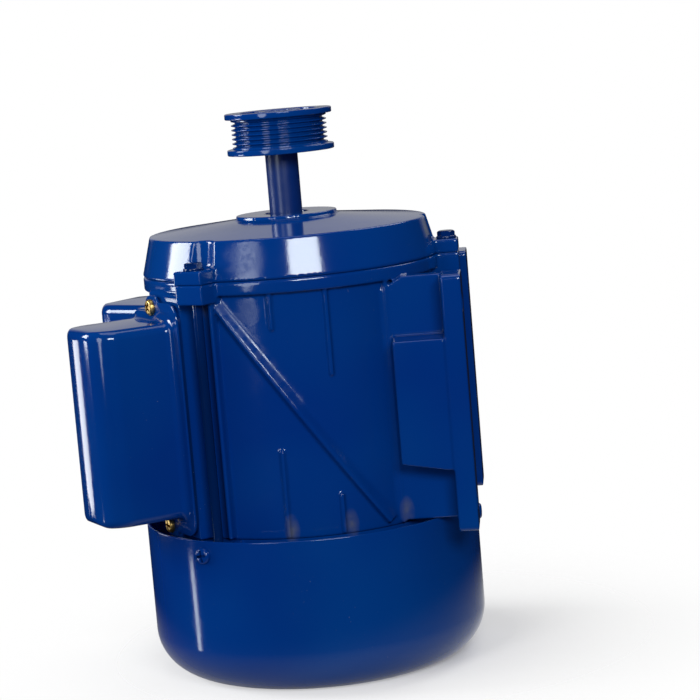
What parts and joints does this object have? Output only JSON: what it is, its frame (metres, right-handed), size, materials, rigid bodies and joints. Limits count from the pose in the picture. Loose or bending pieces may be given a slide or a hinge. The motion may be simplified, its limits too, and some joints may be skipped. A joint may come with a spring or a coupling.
{
  "type": "electric motor",
  "caption": "Foot-mounted single-phase induction motor with a cast housing, drawn fan cover, two capacitor covers and a flanged belt pulley on its upright shaft.",
  "frame": {"origin": "on the shaft axis, at the flat bottom of the fan cover", "axes": "+Z along the shaft towards the pulley, +X from the shaft axis to the foot"},
  "size_m": [0.2024, 0.1748, 0.2904],
  "materials": {
    "blue_enamel": "gloss enamel over cast and sheet metal",
    "yellow_zinc": "yellow passivated zinc",
    "bearing_steel": "ground steel",
    "lamination": "stacked electrical steel",
    "copper_winding": "varnished copper wire",
    "cast_aluminium": "die cast",
    "black_rubber": "matt",
    "black_plastic": "moulded"
  },
  "bodies": {
    "stator": {"housing": "blue_enamel", "drive_end_shield": "blue_enamel", "fan_end_shield": "blue_enamel", "fan_cover": "blue_enamel", "through_bolts": "blue_enamel", "fan_cover_screws": "blue_enamel", "start_capacitor_cover": "blue_enamel", "run_capacitor_cover": "blue_enamel", "start_cover_gasket": "black_rubber", "run_cover_gasket": "black_rubber", "capacitor_cover_screws": "yellow_zinc", "start_capacitor": "black_plastic", "run_capacitor": "cast_aluminium", "capacitor_clamps": "bearing_steel", "terminal_block": "black_plastic", "cable_gland": "black_plastic", "gland_nut": "black_plastic", "stator_core": "lamination", "stator_winding": "copper_winding", "drive_bearing_outer_ring": "bearing_steel", "fan_bearing_outer_ring": "bearing_steel", "wave_spring": "bearing_steel", "shaft_seal": "black_rubber", "switch_board": "black_plastic"},
    "rotor": {"shaft": "blue_enamel", "rotor_core": "lamination", "rotor_cage": "cast_aluminium", "fan": "black_plastic", "fan_circlip": "bearing_steel", "pulley": "blue_enamel", "pulley_key": "bearing_steel", "pulley_set_screw": "bearing_steel", "drive_bearing_inner_ring": "bearing_steel", "fan_bearing_inner_ring": "bearing_steel", "governor_hub": "bearing_steel"},
    "drive_ball_set": {"drive_bearing_balls": "bearing_steel", "drive_bearing_cage": "yellow_zinc"},
    "fan_ball_set": {"fan_bearing_balls": "bearing_steel", "fan_bearing_cage": "yellow_zinc"},
    "weight_a": {"governor_weight_a": "yellow_zinc"},
    "weight_b": {"governor_weight_b": "yellow_zinc"},
    "collar": {"governor_collar": "black_plastic"}
  },
  "joints": [
    {"name": "rotor_spin", "type": "hinge", "parent": "stator", "child": "rotor", "pos_m": [0, 0, 0.15], "axis": [0, 0, 1], "continuous": true},
    {"name": "drive_balls_spin", "type": "hinge", "parent": "stator", "child": "drive_ball_set", "pos_m": [0, 0, 0.2254], "axis": [0, 0, 1], "continuous": true},
    {"name": "fan_balls_spin", "type": "hinge", "parent": "stator", "child": "fan_ball_set", "pos_m": [0, 0, 0.07], "axis": [0, 0, 1], "continuous": true},
    {"name": "weight_a_swing", "type": "hinge", "parent": "rotor", "child": "weight_a", "pos_m": [0.022, 0, 0.086], "axis": [0, 1, 0], "range_deg": [0, 20], "stiffness_Nm_per_rad": 0.05, "springref_deg": -20.05},
    {"name": "weight_b_swing", "type": "hinge", "parent": "rotor", "child": "weight_b", "pos_m": [-0.022, 0, 0.086], "axis": [0, -1, 0], "range_deg": [0, 20]},
    {"name": "collar_slide", "type": "slide", "parent": "rotor", "child": "collar", "axis": [0, 0, 1], "range_m": [0, 0.0026]}
  ],
  "couplings": [
    {"joint": "drive_balls_spin", "follows": "rotor_spin", "ratio": 0.38246},
    {"joint": "fan_balls_spin", "follows": "rotor_spin", "ratio": 0.38246},
    {"joint": "weight_b_swing", "follows": "weight_a_swing", "ratio": 1},
    {"joint": "collar_slide", "follows": "weight_a_swing", "m_per_rad": 0.007446}
  ]
}
